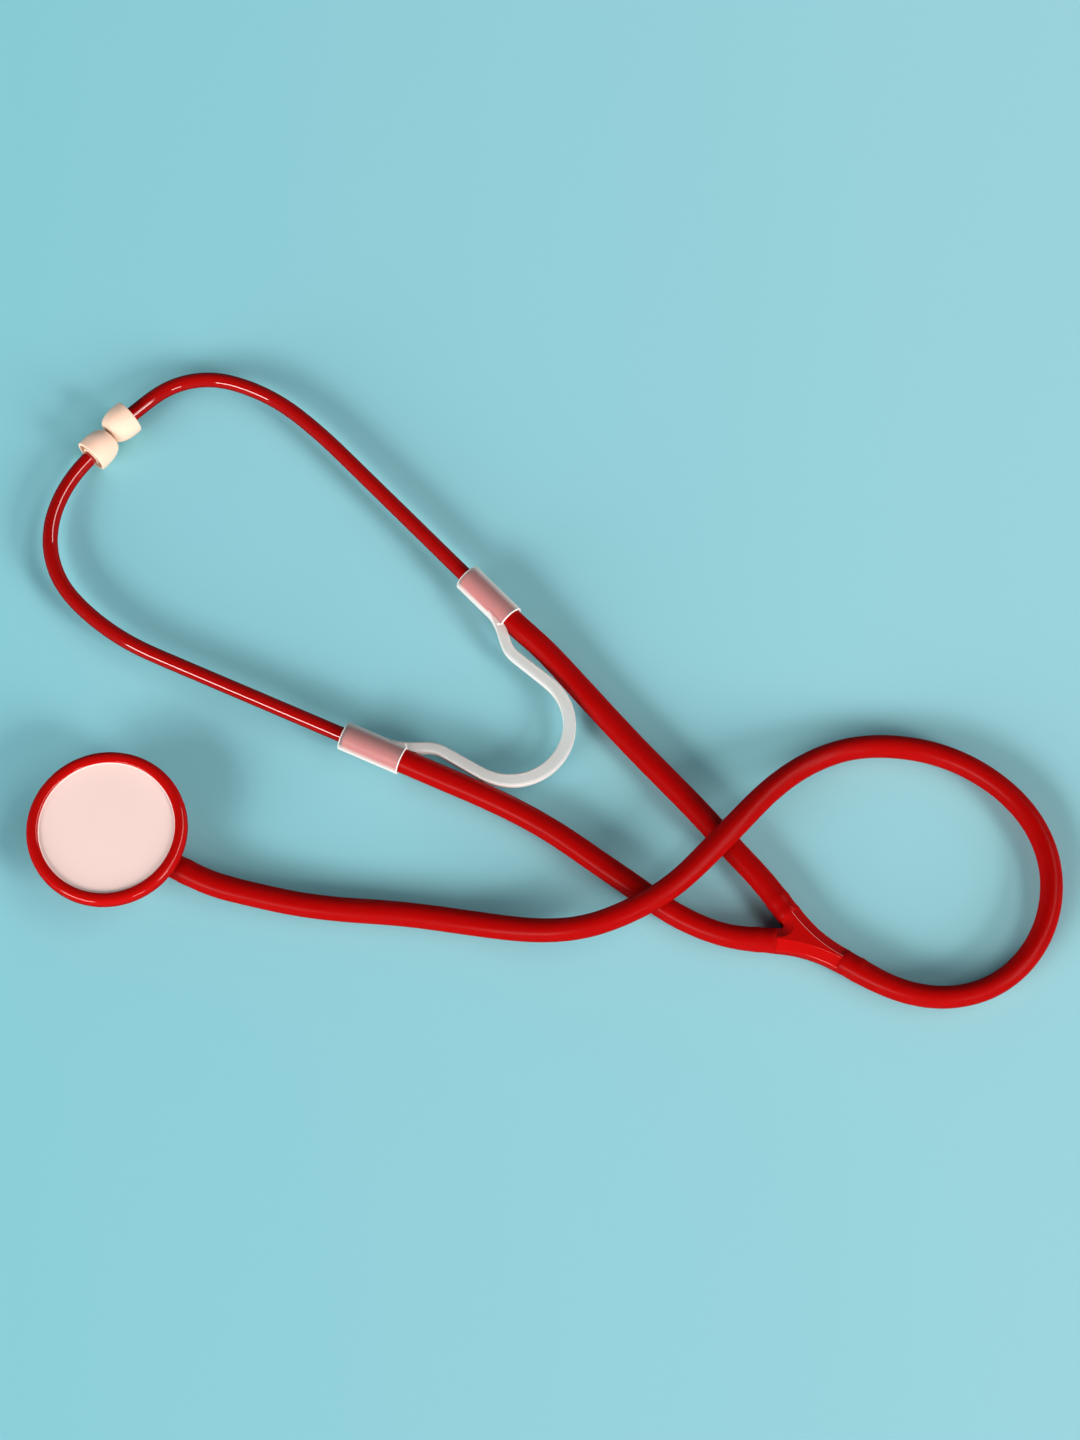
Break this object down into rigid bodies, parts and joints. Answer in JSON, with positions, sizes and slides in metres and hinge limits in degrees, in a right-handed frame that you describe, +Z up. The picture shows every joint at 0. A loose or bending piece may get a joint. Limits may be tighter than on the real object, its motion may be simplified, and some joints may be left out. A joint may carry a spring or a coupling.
{
  "type": "toy stethoscope",
  "caption": "Toy stethoscope with a round chest piece, a hose looped to a Y connector, branch hoses, a springy clip and two bent ear tubes with domed ear tips.",
  "frame": {"origin": "middle of the chest piece's flat back, on the table", "axes": "+Z up from the table, +X from the chest piece towards the hose's loop, +Y towards the ear tips"},
  "size_m": [0.2843, 0.1897, 0.0141],
  "materials": {
    "red_moulding": "glossy moulded plastic",
    "white_sheet": "satin plastic sheet",
    "red_hose": "satin soft vinyl",
    "milky_clip": "milky translucent plastic",
    "red_ear_tube": "glossy extruded plastic",
    "cream_tip": "matte soft plastic"
  },
  "bodies": {
    "hoses_and_clip": {"main_hose": "red_hose", "y_connector": "red_moulding", "left_branch_hose": "red_hose", "right_branch_hose": "red_hose", "clip_leaf": "milky_clip", "left_clip_sleeve": "milky_clip"},
    "right_arm": {"right_clip_sleeve": "milky_clip"},
    "left_ear": {"left_ear_tube": "red_ear_tube", "left_ear_tip": "cream_tip"},
    "right_ear": {"right_ear_tube": "red_ear_tube", "right_ear_tip": "cream_tip"},
    "chest_piece": {"chest_body": "red_moulding", "rim_ring": "red_moulding", "diaphragm": "white_sheet"}
  },
  "joints": [
    {"name": "headset_spread", "type": "hinge", "parent": "hoses_and_clip", "child": "right_arm", "pos_m": [0.11868, 0.02546, 0.0051], "axis": [0, 0, -1], "range_deg": [0, 50], "stiffness_Nm_per_rad": 0.25, "deforming": ["clip_leaf", "right_branch_hose"]},
    {"name": "left_ear_turn", "type": "hinge", "parent": "hoses_and_clip", "child": "left_ear", "pos_m": [0.06337, 0.02875, 0.0051], "axis": [0.9128, -0.4083, 0], "range_deg": [-25, 25]},
    {"name": "right_ear_turn", "type": "hinge", "parent": "right_arm", "child": "right_ear", "pos_m": [0.09715, 0.07652, 0.0051], "axis": [-0.6892, 0.7246, 0], "range_deg": [-25, 25]},
    {"name": "chest_turn", "type": "hinge", "parent": "hoses_and_clip", "child": "chest_piece", "pos_m": [0, 0, 0.0044], "axis": [0.8988, -0.4384, 0], "continuous": true}
  ]
}
